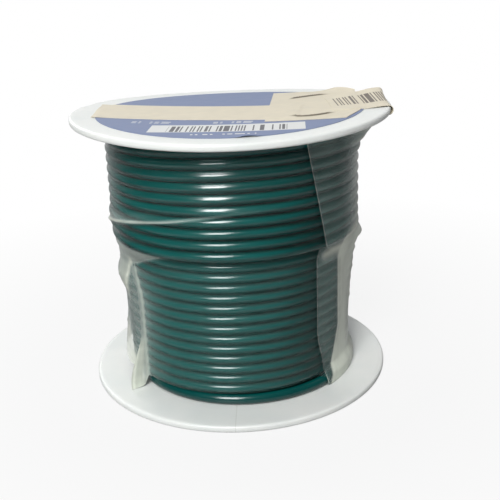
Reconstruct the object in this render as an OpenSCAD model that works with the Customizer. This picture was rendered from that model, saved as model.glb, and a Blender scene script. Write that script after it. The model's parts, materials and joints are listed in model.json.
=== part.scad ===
// Wire spool: two moulded flanges on a barrel, wound with insulated wire and wrapped in clear film.
// Millimetres. The spool's axis is Z, and the underside of the lower flange is at z = 0.

/* [Spool] */
// Diameter of both flanges
flange_d = 101.6; // [98:0.1:120]
// Thickness of both flanges
flange_t = 2.25; // [1.8:0.05:4]
// Rounding of the flange rims
rim_round = 0.8; // [0.2:0.05:0.85]
// Clear width between the flanges
traverse = 84.4; // [70:0.1:110]
// Outside diameter of the barrel
barrel_d = 31.8; // [30:0.1:45]
// Wall of the barrel
barrel_wall = 1.8; // [1.2:0.1:2.4]
// Diameter of the arbor bore
bore_d = 15.9; // [10:0.1:16.5]
// Wall of the arbor tube in the barrel
arbor_wall = 1.6; // [1:0.1:2]
// Number of webs between the arbor tube and the barrel
web_count = 6; // [3:1:8]
// Thickness of the webs and of the spokes in the flanges
web_t = 1.6; // [1:0.1:3]
// Length of the spigot on each flange that plugs the barrel
spigot_len = 6; // [3:0.5:15]
// Wall of the spigots
spigot_wall = 1.4; // [1:0.1:2]
// Radial clearance of the spigots in the barrel
spigot_gap = 0.05; // [0.02:0.01:0.3]
// Distance of the webs from the ends of the spigots
web_gap = 0.3; // [0.1:0.1:2]
// Diameter of the hole for the start of the wire
start_hole_d = 4.5; // [2:0.1:6]
// Distance of that hole's edge from the barrel
start_hole_gap = 0.6; // [0.2:0.1:4]
// Azimuth of that hole
start_hole_az = 205; // [0:5:355]

/* [Wire] */
// Diameter of the insulated wire
wire_d = 3; // [2:0.05:3]
// Spacing of the turns in the inner layer
inner_pitch = 3.42; // [3.42:0.02:5]
// Spacing of the turns in the outer layer
outer_pitch = 3.56; // [3.42:0.02:5]
// Diameter over the outer layer of turns
winding_d = 81.9; // [64:0.1:84]
// Radial rise from the inner layer to the outer one
layer_rise = 3.15; // [3.1:0.05:4]
// Turns in the outer layer
outer_turns = 10; // [2:1:12]
// Gap between a layer of turns and the core under it
lay_gap = 0.35; // [0.3:0.05:0.6]
// Least gap between the winding and a flange
end_gap = 0.2; // [0.05:0.05:0.5]
// Share of a turn in which the wire crosses to the next turn
cross_share = 0.25; // [0.25:0.125:0.5]
// Azimuth at which each turn starts
turn_start = 45; // [0:15:90]
// Diameter of one strand of the conductor
strand_d = 0.45; // [0.2:0.05:0.5]
// Gap between strands
strand_gap = 0.03; // [0.02:0.01:0.06]
// Rings of strands round the middle one
strand_rings = 2; // [1:1:2]
// Length of strand that shows at the cut end
strand_len = 0.8; // [0.2:0.1:3]

/* [Film] */
// Thickness of the film
film_t = 0.3; // [0.2:0.05:0.6]
// Gap between the film and the turns, and between its two plies
film_gap = 0.3; // [0.3:0.05:0.6]
// Depth to which the film draws in between neighbouring turns
film_cling = 0.8; // [0:0.05:0.9]
// Azimuth of the film's outer edge
film_edge_az = -45; // [-60:15:-30]
// Angle over which the film laps itself
film_lap = 75; // [45:15:120]
// First azimuth of the front, where the film clings to the inner layer
film_front_from = -142; // [-150:1:-120]
// Last azimuth of the front
film_front_to = -52; // [-80:1:-45]
// Angle in which the film leaves the turns where it stops clinging to them
film_fade = 16; // [8:1:30]
// How far the film stands off the inner layer at the sides and back
film_stand = 1; // [0:0.1:2]
// Distance of the film from the flanges
film_end_gap = 0.5; // [0.3:0.1:2]
// Height above the lower flange at which the film starts at the front
film_bare = 4; // [3.5:0.1:5]
// How far the pleat at the foot of the film stands out
pleat_out = 4; // [0:0.5:6]
// Height of that pleat
pleat_h = 26; // [10:1:40]
// Azimuth of that pleat
pleat_az = -150; // [-165:15:-135]
// How far the top of the film flares under the upper flange
flare_out = 5; // [0:0.5:6]
// Height of that flare
flare_h = 14; // [6:1:25]
// Azimuth of that flare
flare_az = -7.5; // [-22.5:7.5:15]

/* [Labels] */
// Thickness of the paper
paper_t = 0.15; // [0.1:0.05:0.3]
// Diameter of the round label
label_d = 86.4; // [60:0.1:97]
// Middle of the round label, towards the back
label_y = -1; // [-2:0.5:2]
// Width of the paper strip
strip_w = 25.5; // [15:0.5:35]
// Length of the paper strip, before its left end is cut
strip_l = 70; // [40:0.5:75]
// Middle of the paper strip, across the label
strip_x = -12.5; // [-16:0.5:5]
// Middle of the paper strip, towards the back
strip_y = -2.5; // [-10:0.5:10]
// Turn of the strip
strip_turn = -11; // [-20:1:10]
// How far to the left the strip's cut end lies
strip_end = 43.7; // [35:0.1:46]
// Width of the wide sticker
sticker_w = 29; // [15:0.5:32]
// Length of the wide sticker
sticker_l = 57; // [25:0.5:60]
// Middle of the wide sticker, across the label
sticker_x = 27.5; // [15:0.5:29]
// Middle of the wide sticker, towards the back
sticker_y = 3.5; // [-5:0.5:6]
// Turn of the wide sticker
sticker_turn = -6; // [-20:1:10]
// Width of the corner cut off the sticker at the front
front_cut_w = 4.8; // [0:0.2:8]
// Length of that corner
front_cut_l = 11.6; // [0:0.2:16]
// Width of the corner cut off the sticker at the back
back_cut_w = 7; // [4:0.2:10]
// Length of that corner
back_cut_l = 6.6; // [4:0.2:10]
// Width of the flag that folds over the rim
flag_w = 29; // [15:0.5:35]
// Middle of the flag along the rim
flag_y = 1; // [-10:0.5:12]
// Length of the flag on top of the flange, in from its fold
flag_l = 17.5; // [8:0.5:20]
// Length of the flag under the flange
flag_under = 1.5; // [0.5:0.5:6]

/* [Hidden] */
$fn = 96;

plastic = [0.93, 0.94, 0.92];
insulation = [0.05, 0.29, 0.27];
hidden_wire = [0.04, 0.21, 0.20];
copper = [0.72, 0.42, 0.27];
clear_film = [0.72, 0.77, 0.74, 0.45];
label_blue = [0.50, 0.55, 0.68];
cream_paper = [0.88, 0.85, 0.76];

flange_r = flange_d / 2;
bore_r = bore_d / 2;
arbor_r = bore_r + arbor_wall;
barrel_r = barrel_d / 2;
spigot_r = barrel_r - barrel_wall - spigot_gap;
pocket_r = spigot_r - spigot_wall;
overall_h = traverse + 2 * flange_t;
upper_face = flange_t + traverse;
start_hole_r = barrel_r + start_hole_gap + start_hole_d / 2;
// Overlap that keeps cuts and joins clean
eps = 0.5;

// The inner layer shows as many turns as fit under the outer ones
inner_turns = floor((traverse - 2 * end_gap - outer_turns * outer_pitch) / inner_pitch);
// Heights of the first and last turn of the inner layer, and of the outer one, which goes down
first_z = flange_t + end_gap + inner_pitch / 2;
inner_top_z = first_z + (inner_turns - 1) * inner_pitch;
last_z = upper_face - end_gap - outer_pitch / 2;
outer_low_z = last_z - (outer_turns - 1) * outer_pitch;
shoulder_z = (inner_top_z + outer_low_z) / 2;
outer_r = (winding_d - wire_d) / 2;
inner_r = outer_r - layer_rise;
rings_per_turn = 24;
wire_sides = 6;
strand_pitch = strand_d + strand_gap;

film_upper_r = outer_r + wire_d / 2 + film_gap;
film_lower_r = inner_r + wire_d / 2 + film_gap;
film_top = upper_face - film_end_gap;
film_step = 360 / rings_per_turn;
film_columns = round((360 + film_lap) / film_step);
film_ply = film_t + film_gap;
// Width of the pleat and of the flare, each to one side, and of the fade from two plies to one
pleat_half = 15;
flare_half = 24;
ply_fade = 45;
// Heights of the film's rows of points, over the inner layer from its second turn and over the outer one
rows_per_turn = 3;
film_rows = concat(
  [for (i = [rows_per_turn:rows_per_turn * (inner_turns - 1)]) first_z + inner_pitch * i / rows_per_turn],
  [for (i = [0:rows_per_turn * (outer_turns - 1)]) outer_low_z + outer_pitch * i / rows_per_turn]);

strip_z = overall_h + paper_t;
sticker_z = strip_z + paper_t;
flag_z = sticker_z + paper_t;

// 0 up to x = 0, 1 from x = 1, and a smooth rise between them
function smooth(x) = let (t = min(1, max(0, x))) t * t * (3 - 2 * t);
// Angle between two azimuths
function apart(a, b) = abs((a - b + 900) % 360 - 180);
// 1 at the centre, falling to 0 at a distance of half
function swell(a, centre, half) = 1 - smooth(apart(a, centre) / half);

// Height gained after t turns, in turns: level first, then crossing to the next turn
function climb(t) = floor(t) + smooth((t - floor(t) - 1 + cross_share) / cross_share);
// Point of a layer after t turns, wound clockwise as seen from above
function turn_az(t) = turn_start - 360 * t;
function layer_point(r, z, rise, t) =
  [r * cos(turn_az(t)), r * sin(turn_az(t)), z + rise * climb(t)];
function outward(t) = [cos(turn_az(t)), sin(turn_az(t)), 0];
function onward(t) = [sin(turn_az(t)), -cos(turn_az(t)), 0];
function last_turn(count) = count - cross_share;
function layer_steps(count) = round(last_turn(count) * rings_per_turn);
// Centre line of a layer: its turns, with a straight run of one wire diameter at each end
function layer_path(r, z, rise, count) = let (steps = layer_steps(count), stop = last_turn(count)) concat(
  [layer_point(r, z, rise, 0) - wire_d * onward(0)],
  [for (i = [0:steps]) layer_point(r, z, rise, stop * i / steps)],
  [layer_point(r, z, rise, stop) + wire_d * onward(stop)]);
function layer_outward(count) = let (steps = layer_steps(count), stop = last_turn(count)) concat(
  [outward(0)], [for (i = [0:steps]) outward(stop * i / steps)], [outward(stop)]);
function unit(v) = v / norm(v);
function along(path, i) = unit(path[min(i + 1, len(path) - 1)] - path[max(i - 1, 0)]);
// Least distance between the surfaces of different turns of one layer
function least_gap(path) = let (last = len(path) - 1)
  min([for (i = [0:last], j = [i + rings_per_turn / 2:1:last]) norm(path[i] - path[j])]) - wire_d;

inner_path = layer_path(inner_r, first_z, inner_pitch, inner_turns);
outer_path = layer_path(outer_r, last_z, -outer_pitch, outer_turns);
echo(inner_layer_turns = inner_turns, least_gap_mm = least_gap(inner_path));
echo(outer_layer_turns = outer_turns, least_gap_mm = least_gap(outer_path));

// Weight of the front, where the film clings to the inner layer
front_middle = (film_front_from + film_front_to) / 2;
front_half = (film_front_to - film_front_from) / 2;
function front(a) = 1 - smooth((apart(a, front_middle) - front_half) / film_fade);
// 0 at the back, where the turns cross and end and the film lies straight over them, and 1 elsewhere
cross_half = 180 * cross_share;
cross_middle = turn_start + cross_half;
function level(a) = smooth((apart(a, cross_middle) - cross_half) / film_fade);
function film_foot(a) = flange_t + film_end_gap + (film_bare - film_end_gap) * front(a);
// Heights of the film's points: its foot, its rows over the turns, and its top
function film_heights(a) = concat([film_foot(a)], film_rows, [film_top]);
// Inner radius of the film at an azimuth and a height
function film_r(a, z) = let (
    upper = z > shoulder_z,
    turns_passed = upper ? (z - outer_low_z) / outer_pitch : (z - first_z) / inner_pitch,
    upper_crest = film_upper_r + film_gap * (1 - level(a)),
    lower_crest = film_lower_r + film_stand * (1 - front(a)),
    hollow = film_cling * (upper ? level(a) : front(a)) * (1 - cos(360 * turns_passed)) / 2,
    pleat = pleat_out * swell(a, pleat_az, pleat_half) * smooth(1 - (z - flange_t) / pleat_h),
    flare = flare_out * swell(a, flare_az, flare_half) * smooth(1 - (film_top - z) / flare_h))
  (upper ? upper_crest : lower_crest) - hollow + pleat + flare;
// The outer ply lies over the inner one for the lap, then comes down to the turns
function ply(column) = film_ply * (1 - smooth((column * film_step - film_lap) / ply_fade));
function film_line(column, wall) = let (a = film_edge_az + column * film_step)
  [for (z = film_heights(a)) let (r = film_r(a, z) + ply(column) + wall) [r * cos(a), r * sin(a), z]];
function backwards(list) = [for (i = [len(list) - 1:-1:0]) list[i]];

// Closed skin over a row of sections that all have the same even number of points
module section_sweep(sections) {
  n = len(sections[0]);
  last = len(sections) - 1;
  polyhedron(
    points = [for (s = sections) each s],
    faces = concat(
      [for (i = [0:last - 1], k = [0:n - 1]) let (m = (k + 1) % n) each [
        [i * n + k, (i + 1) * n + k, (i + 1) * n + m],
        [i * n + k, (i + 1) * n + m, i * n + m]]],
      [for (k = [0:n / 2 - 2]) each [[k, k + 1, n - 2 - k], [k, n - 2 - k, n - 1 - k]]],
      [for (k = [0:n / 2 - 2]) each [
        [last * n + k, last * n + n - 2 - k, last * n + k + 1],
        [last * n + k, last * n + n - 1 - k, last * n + n - 2 - k]]]),
    convexity = 10);
}

module wound_tube(path, count) {
  out = layer_outward(count);
  section_sweep([for (i = [0:len(path) - 1]) let (side = cross(along(path, i), out[i]))
    [for (k = [0:wire_sides - 1]) let (turn = 360 * k / wire_sides)
      path[i] + wire_d / 2 * (cos(turn) * out[i] + sin(turn) * side)]]);
}

// A disc with a round rim, a spoked hub, a spigot ring above it and a hole for the start of the wire
module flange() {
  rim_r = flange_r - rim_round;
  difference() {
    union() {
      rotate_extrude() {
        translate([bore_r, 0]) square([rim_r - bore_r, flange_t]);
        translate([rim_r - eps, rim_round]) square([rim_round + eps, flange_t - 2 * rim_round]);
        for (z = [rim_round, flange_t - rim_round]) translate([rim_r, z]) circle(rim_round);
      }
      rotate_extrude() translate([pocket_r, flange_t - eps]) square([spigot_wall, spigot_len + eps]);
    }
    difference() {
      rotate_extrude() translate([arbor_r, -eps]) square([pocket_r - arbor_r, flange_t + 2 * eps]);
      spokes(-2 * eps, flange_t + 2 * eps);
    }
    rotate(start_hole_az) translate([start_hole_r, 0, -eps])
      cylinder(d = start_hole_d, h = flange_t + 2 * eps);
  }
}

// Radial webs from the arbor tube to the barrel between two heights
module spokes(from_z, to_z) {
  for (i = [0:web_count - 1]) rotate(i * 360 / web_count)
    translate([bore_r + arbor_wall / 2, -web_t / 2, from_z])
      cube([barrel_r - barrel_wall / 2 - bore_r - arbor_wall / 2, web_t, to_z - from_z]);
}

module lower_flange() {
  color(plastic) flange();
}

module upper_flange() {
  color(plastic) translate([0, 0, overall_h]) rotate([180, 0, 0]) flange();
}

// The barrel's outer wall and arbor tube, joined by webs that stop clear of the spigots
module barrel() {
  web_from = flange_t + spigot_len + web_gap;
  color(plastic) {
    rotate_extrude() {
      translate([bore_r, flange_t]) square([arbor_wall, traverse]);
      translate([barrel_r - barrel_wall, flange_t]) square([barrel_wall, traverse]);
    }
    spokes(web_from, overall_h - web_from);
  }
}

// The layers of wire under the visible ones, as one plain body with a shoulder under the outer layer
module winding_core() {
  core_end = flange_t + end_gap;
  under_inner = inner_r - wire_d / 2 - lay_gap;
  under_outer = outer_r - wire_d / 2 - lay_gap;
  core_hole = barrel_r + end_gap;
  color(hidden_wire) rotate_extrude() {
    translate([core_hole, core_end]) square([under_inner - core_hole, traverse - 2 * end_gap]);
    translate([core_hole, shoulder_z]) square([under_outer - core_hole, upper_face - end_gap - shoulder_z]);
  }
}

module inner_layer() {
  color(insulation) wound_tube(inner_path, inner_turns);
}

module outer_layer() {
  color(insulation) wound_tube(outer_path, outer_turns);
}

// The strands of the conductor, bare at the cut end of the outer layer
module conductor_strands() {
  stop = last_turn(outer_turns);
  cut_end = outer_path[len(outer_path) - 1];
  color(copper) translate(cut_end) rotate([0, 90, turn_az(stop) - 90]) {
    cylinder(d = strand_d, h = strand_len);
    for (ring = [1:strand_rings], i = [0:6 * ring - 1])
      rotate(i * 60 / ring) translate([ring * strand_pitch, 0, 0]) cylinder(d = strand_d, h = strand_len);
  }
}

// One sheet that goes once round the winding and on over its own start
module film_wrap() {
  color(clear_film) section_sweep([for (column = [0:film_columns])
    concat(film_line(column, film_t), backwards(film_line(column, 0)))]);
}

module round_label() {
  color(label_blue) translate([0, label_y, overall_h]) cylinder(d = label_d, h = paper_t);
}

// A strip whose left end is cut straight from front to back
module paper_strip() {
  color(cream_paper) translate([0, 0, strip_z]) linear_extrude(paper_t) intersection() {
    translate([strip_x, strip_y]) rotate(strip_turn) square([strip_l, strip_w], center = true);
    translate([-strip_end, -strip_l]) square(2 * strip_l);
  }
}

// A sticker with its two right corners cut off
module wide_sticker() {
  right = sticker_w / 2;
  back = sticker_l / 2;
  color(cream_paper) translate([sticker_x, sticker_y, sticker_z]) rotate(sticker_turn)
    linear_extrude(paper_t) polygon([[-right, -back], [right - front_cut_w, -back], [right, front_cut_l - back],
      [right, back - back_cut_l], [right - back_cut_w, back], [-right, back]]);
}

// A paper flag that lies on the other stickers and folds round the rim to the flange's underside
module barcode_flag() {
  fold_x = flange_r - flange_t / 2;
  fold_z = overall_h - flange_t / 2;
  fold_r = flag_z - fold_z;
  color(cream_paper) translate([0, flag_y + flag_w / 2, 0]) rotate([90, 0, 0]) linear_extrude(flag_w) {
    translate([fold_x - flag_l, flag_z]) square([flag_l, paper_t]);
    translate([fold_x, fold_z]) intersection() {
      difference() {
        circle(fold_r + paper_t);
        circle(fold_r);
      }
      translate([0, -2 * fold_r]) square(4 * fold_r);
    }
    translate([fold_x - flag_under, fold_z - fold_r - paper_t]) square([flag_under, paper_t]);
  }
}

lower_flange();
upper_flange();
barrel();
winding_core();
inner_layer();
outer_layer();
conductor_strands();
film_wrap();
round_label();
paper_strip();
wide_sticker();
barcode_flag();
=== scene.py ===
"""Wire spool: moulded flanges on a barrel, wound with green wire, wrapped in film and labelled on top."""
import json
import math

import bpy
import numpy as np
from mathutils import Matrix, Vector


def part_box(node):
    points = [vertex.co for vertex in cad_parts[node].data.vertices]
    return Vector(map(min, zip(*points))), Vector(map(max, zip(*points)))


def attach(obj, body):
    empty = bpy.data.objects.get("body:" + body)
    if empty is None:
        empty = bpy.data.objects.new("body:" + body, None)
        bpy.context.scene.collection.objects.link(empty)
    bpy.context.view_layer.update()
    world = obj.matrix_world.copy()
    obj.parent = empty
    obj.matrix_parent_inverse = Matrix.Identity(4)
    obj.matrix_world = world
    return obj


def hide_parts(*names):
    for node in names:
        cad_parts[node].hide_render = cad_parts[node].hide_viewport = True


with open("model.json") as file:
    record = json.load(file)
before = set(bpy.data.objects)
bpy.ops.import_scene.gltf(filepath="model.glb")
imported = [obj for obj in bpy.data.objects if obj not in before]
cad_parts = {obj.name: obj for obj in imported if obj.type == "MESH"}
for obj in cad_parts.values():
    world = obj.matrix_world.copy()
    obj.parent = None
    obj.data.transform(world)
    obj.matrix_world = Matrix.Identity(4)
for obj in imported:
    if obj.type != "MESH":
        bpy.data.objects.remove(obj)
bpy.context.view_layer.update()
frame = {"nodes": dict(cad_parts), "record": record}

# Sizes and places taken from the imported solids, in metres
MM = 0.001
FLANGE_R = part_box("lower_flange")[1].x
FLANGE_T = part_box("barrel")[0].z
UPPER_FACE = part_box("barrel")[1].z
OVERALL_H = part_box("upper_flange")[1].z
BARREL_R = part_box("barrel")[1].x
LABEL_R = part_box("round_label")[1].x
PAPER_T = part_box("round_label")[1].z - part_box("round_label")[0].z

# The hub and rim of each flange
SPIGOT_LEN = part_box("lower_flange")[1].z - FLANGE_T
BORE_R = frame["record"]["mounts"][0]["dims"]["r_mm"] * MM
ARBOR_WALL = 1.6 * MM
BARREL_WALL = 1.8 * MM
SPIGOT_WALL = 1.4 * MM
ARBOR_R = BORE_R + ARBOR_WALL
SPIGOT_R = BARREL_R - BARREL_WALL
POCKET_R = SPIGOT_R - SPIGOT_WALL
SPOKES = 6
SPOKE_ANGLE = math.radians(7.5)
RIM_STEPS = 192
RIM_ROUND = 0.8 * MM
RIM_SEGMENTS = 5
RIM_BAND = 2 * MM
WEB_RINGS = 7
START_HOLE_R = 2.25 * MM
START_HOLE_OUT = BARREL_R + 0.6 * MM + START_HOLE_R
START_HOLE_AZ = math.radians(205)
START_HOLE_STEPS = 32
WELD_LINE = math.radians(3)
WELD_WIDTH = 0.32 * MM

# The upper flange is a little wider than the lower one and bent: its ends stand up and its back lies low
UPPER_R = 1.015 * FLANGE_R
BEND_ACROSS = 1.68 * MM
BEND_ALONG = -0.36 * MM
FLANGE_TILT = -0.52 * MM

# The wire and its winding, in millimetres
WIRE_D = 3.38
INNER_PITCH = 3.38
OUTER_PITCH = 3.56
INNER_TURNS = 14
OUTER_TURNS = 10
OUTER_LINE_R = 39.45
INNER_LINE_R = 36.3
BURIED_LINE_R = 32.95
END_GAP = 0.2
CAD_WIRE_D = 3.0
FIRST_Z = FLANGE_T / MM + END_GAP + INNER_PITCH / 2
LAST_Z = UPPER_FACE / MM - END_GAP - OUTER_PITCH / 2
OUTER_LOW_Z = LAST_Z - (OUTER_TURNS - 1) * OUTER_PITCH
TURN_START = 45
LEVEL_SHARE = 0.75
STEPS_PER_TURN = 96
CROSSING_RISE = 0.25
# The turns waver out and up, by waves in a turn and a shift from turn to turn, less so at the wire's end
WIRE_WAVER = 0.05
OUT_WAVES, OUT_SHIFT = 2, 0.7
UP_WAVES, UP_SHIFT, UP_START = 3, 0.4, 1
CALM_SHARE = 1 / 8
# The lowest turn lies off centre, towards the front right
LOOSE_X = 1.5
LOOSE_Y = -1
LOOSE_DROP = 0.2
LOOSE_SHARE = 0.5
# The outer layer's turns lie closer together at the left, so the upper ones are lower there
OUTER_SINK = 1.4
OUTER_SINK_AZ = 208
OUTER_SINK_SPREAD = 32
# The wire's start comes out from under the winding
START_TUCK = 5
START_SHARE = 0.13

# The film, in millimetres and degrees
FILM_LAP = 75
FILM_COLUMNS = 400
FILM_ROWS = 220
FILM_EDGE_AZ = -51
FILM_GAP = 0.12
FILM_SAG = 0.4
FILM_TAUT_SAG = 0.64
FILM_PLY = 0.25
FILM_FOOT = FLANGE_T / MM + 0.15
FILM_BARE_FOOT = FLANGE_T / MM + 3.9
FILM_TOP = UPPER_FACE / MM - 0.3
SHOULDER_Z = OUTER_LOW_Z - 0.9

# Meshes: reach of a place, reach of a merge, and the bends in degrees past which an edge stays sharp
NEAR = 0.1 * MM
MERGE_REACH = 0.002 * MM
SHARP_PLASTIC, SHARP_PAPER, SHARP_WIRE = 35, 50, 60


# Shapes along a line
def straight(x, start, end):
    """0 at the start, 1 at the end, straight between them and level beyond them."""
    return np.clip((x - start) / (end - start), 0, 1)


def rise(x, start, end):
    """0 up to the start, 1 from the end, and a smooth rise between them."""
    share = straight(x, start, end)
    return share * share * (3 - 2 * share)


def fall(x, start, end):
    """1 up to the start, 0 from the end, and a smooth fall between them."""
    return 1 - rise(x, start, end)


def span(x, rise_start, rise_end, fall_start, fall_end):
    """1 along a stretch, with a smooth rise before it and a smooth fall after it."""
    return rise(x, rise_start, rise_end) * fall(x, fall_start, fall_end)


def bump(x, centre, spread):
    """A bell of height 1 round a centre."""
    return np.exp(-0.5 * ((x - centre) / spread) ** 2)


def peak(x, centre, fade):
    """A sharp peak of height 1 that fades away to both sides."""
    return np.exp(-np.abs(x - centre) / fade)


def scaled(shape, row, x):
    """A shape along a line by an amount: the row holds the amount and then the shape's places."""
    return row[0] * shape(x, *row[1:])


def blend(pair, share):
    """A value between the two of a pair."""
    return pair[0] + (pair[1] - pair[0]) * share


def apart(angle, middle):
    """How far an angle lies from another, from -180 to 180 degrees."""
    return (angle - middle + 180) % 360 - 180


# Modelling helpers
def clear_selection():
    if bpy.context.mode != "OBJECT":
        bpy.ops.object.mode_set(mode="OBJECT")
    bpy.ops.object.select_all(action="DESELECT")


def named(name):
    """Gives the object that an operator has just added its name."""
    piece = bpy.context.active_object
    piece.name = name
    piece.data.name = name
    return piece


def activate(piece):
    clear_selection()
    piece.select_set(True)
    bpy.context.view_layer.objects.active = piece


def settle(piece):
    """Puts a piece's place into its mesh."""
    activate(piece)
    bpy.ops.object.transform_apply(location=True, rotation=True, scale=True)


def start_selection(kind):
    """Sets edit mode to faces or edges with none selected, and leaves it so that code can select some."""
    bpy.ops.object.mode_set(mode="EDIT")
    bpy.ops.mesh.select_mode(type=kind)
    bpy.ops.mesh.select_all(action="DESELECT")
    bpy.ops.object.mode_set(mode="OBJECT")


def select_faces(piece, test):
    """Selects in edit mode the faces whose middle passes a test."""
    start_selection("FACE")
    for polygon in piece.data.polygons:
        polygon.select = bool(test(polygon.center))
    bpy.ops.object.mode_set(mode="EDIT")


def select_edges(piece, test):
    """Selects in edit mode the edges whose two ends both pass a test."""
    start_selection("EDGE")
    points = [vertex.co for vertex in piece.data.vertices]
    for edge in piece.data.edges:
        edge.select = all(test(points[i]) for i in edge.vertices)
    bpy.ops.object.mode_set(mode="EDIT")


def finish_mesh(piece, angle):
    """Merges doubles, turns the faces outwards and shades the piece smooth."""
    activate(piece)
    bpy.ops.object.mode_set(mode="EDIT")
    bpy.ops.mesh.select_all(action="SELECT")
    bpy.ops.mesh.remove_doubles(threshold=MERGE_REACH)
    bpy.ops.mesh.normals_make_consistent(inside=False)
    bpy.ops.object.mode_set(mode="OBJECT")
    bpy.ops.object.shade_smooth_by_angle(angle=math.radians(angle))


def apply_modifier(piece, kind, **settings):
    activate(piece)
    modifier = piece.modifiers.new(kind.title(), kind)
    for key, value in settings.items():
        setattr(modifier, key, value)
    bpy.ops.object.modifier_apply(modifier=modifier.name)


def points_of(piece):
    points = np.empty(len(piece.data.vertices) * 3)
    piece.data.vertices.foreach_get("co", points)
    return points.reshape(-1, 3)


def place_points(piece, points):
    piece.data.vertices.foreach_set("co", points.ravel())
    piece.data.update()


def keep_values(piece, name, values):
    """Keeps a value for each point of a piece, for its material."""
    attribute = piece.data.attributes.new(name, "FLOAT", "POINT")
    attribute.data.foreach_set("value", values.astype(np.float32))


def dress(piece, material):
    piece.data.materials.clear()
    piece.data.materials.append(material)


def carried(piece, material, slot, *nodes):
    """Dresses a piece, which rides on the spool and stands for CAD nodes, which it hides; its slot, a finish
    name, is not used.
    """
    dress(piece, material)
    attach(piece, "root")
    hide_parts(*nodes)


# Spool
def flange_lift(x, y):
    """How far the bent upper flange stands off its flat place."""
    across, along = x / UPPER_R, y / UPPER_R
    return BEND_ACROSS * across ** 2 + BEND_ALONG * along ** 2 + FLANGE_TILT * along


def in_ring(place, inner_r, outer_r):
    return inner_r < math.hypot(place.x, place.y) < outer_r


def in_slot(place, sector):
    """Whether a place lies in a sector of the hub and clear of the spokes beside it."""
    turn = math.atan2(place.y, place.x) % (2 * math.pi) - sector * 2 * math.pi / SPOKES
    return SPOKE_ANGLE / 2 < turn < 2 * math.pi / SPOKES - SPOKE_ANGLE / 2


def flange_disc(name, flange_r, middle_z):
    """A disc with a bore, cut into rings for the web, the spigot, the slots and the arbor tube."""
    clear_selection()
    bpy.ops.mesh.primitive_cylinder_add(
        vertices=RIM_STEPS, radius=flange_r, depth=FLANGE_T, location=(0, 0, middle_z))
    piece = named(name)
    settle(piece)
    web_r = flange_r - RIM_BAND
    web_rings = [web_r - i * (web_r - SPIGOT_R) / WEB_RINGS for i in range(WEB_RINGS)]
    rings = [flange_r] + web_rings + [SPIGOT_R, POCKET_R, ARBOR_R, BORE_R]
    select_faces(piece, lambda place: math.hypot(place.x, place.y) < NEAR)
    for wider, narrower in zip(rings, rings[1:]):
        bpy.ops.mesh.inset(thickness=wider - narrower, use_even_offset=True)
    bpy.ops.mesh.bridge_edge_loops()
    return piece


def open_slots(piece):
    """Opens the hub between its spokes."""
    for sector in range(SPOKES):
        select_faces(piece, lambda place: in_ring(place, ARBOR_R, POCKET_R) and in_slot(place, sector))
        bpy.ops.mesh.bridge_edge_loops()


def drill_start_hole(piece, outer_z, inward):
    """Drills the hole for the wire's start, close to the barrel."""
    clear_selection()
    x = START_HOLE_OUT * math.cos(START_HOLE_AZ)
    y = inward * START_HOLE_OUT * math.sin(START_HOLE_AZ)
    bpy.ops.mesh.primitive_cylinder_add(
        vertices=START_HOLE_STEPS, radius=START_HOLE_R, depth=4 * FLANGE_T, location=(x, y, outer_z))
    drill = named("drill")
    settle(drill)
    apply_modifier(piece, "BOOLEAN", object=drill, operation="DIFFERENCE", solver="EXACT")
    bpy.data.objects.remove(drill)


def flange(name, flange_r, outer_z, inward):
    """A round-rimmed disc with a slotted hub, a spigot on its inner side and a hole for the wire's start."""
    piece = flange_disc(name, flange_r, outer_z + inward * FLANGE_T / 2)
    open_slots(piece)
    inner_z = outer_z + inward * FLANGE_T
    select_faces(piece, lambda place: in_ring(place, POCKET_R, SPIGOT_R) and abs(place.z - inner_z) < NEAR)
    bpy.ops.mesh.extrude_region_move(TRANSFORM_OT_translate={"value": (0, 0, inward * SPIGOT_LEN)})
    select_edges(piece, lambda place: math.hypot(place.x, place.y) > flange_r - NEAR)
    bpy.ops.mesh.bevel(offset=RIM_ROUND, segments=RIM_SEGMENTS, affect="EDGES")
    drill_start_hole(piece, outer_z, inward)
    finish_mesh(piece, SHARP_PLASTIC)
    return piece


# Winding
def turn_places():
    """Radius and height of each turn, in the order of winding: up the inner layer, down the outer one."""
    shown = [(INNER_LINE_R, FIRST_Z + INNER_PITCH * k) for k in range(INNER_TURNS)]
    buried = [(INNER_LINE_R, OUTER_LOW_Z + OUTER_PITCH * (k + 0.5)) for k in range(OUTER_TURNS - 1)]
    outer = [(OUTER_LINE_R, LAST_Z - OUTER_PITCH * k) for k in range(OUTER_TURNS)]
    return shown + buried + outer


def outer_sink(azimuth, z):
    """How far a turn of the outer layer lies below its even place."""
    near = bump(apart(azimuth, OUTER_SINK_AZ), 0, OUTER_SINK_SPREAD)
    return OUTER_SINK * near * straight(z, OUTER_LOW_Z, LAST_Z)


def wire_point(turn, share, place, next_place, turn_count):
    """A point on the wire's centre line, a share of the way round one of its turns."""
    r, z = place
    next_r, next_z = next_place
    wound = turn + share
    azimuth = math.radians(TURN_START - 360 * share)
    crossing = float(rise(share, LEVEL_SHARE, 1))
    loose = float(fall(wound, LOOSE_SHARE, 1))
    tucked = START_TUCK * float(fall(wound, 0, START_SHARE))
    waver = WIRE_WAVER * min(1, (1 - wound / turn_count) / CALM_SHARE)
    radius = r + (next_r - r) * crossing + waver * math.sin(OUT_WAVES * azimuth + OUT_SHIFT * turn) - tucked
    height = z + (next_z - z) * crossing
    if r == OUTER_LINE_R:
        radius += CROSSING_RISE * 4 * crossing * (1 - crossing)
        height -= float(outer_sink(math.degrees(azimuth), height))
    height += waver * math.sin(UP_WAVES * azimuth + UP_SHIFT * turn + UP_START) - LOOSE_DROP * loose
    x, y = radius * math.cos(azimuth), radius * math.sin(azimuth)
    return x + LOOSE_X * loose, y + LOOSE_Y * loose, height


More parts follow.
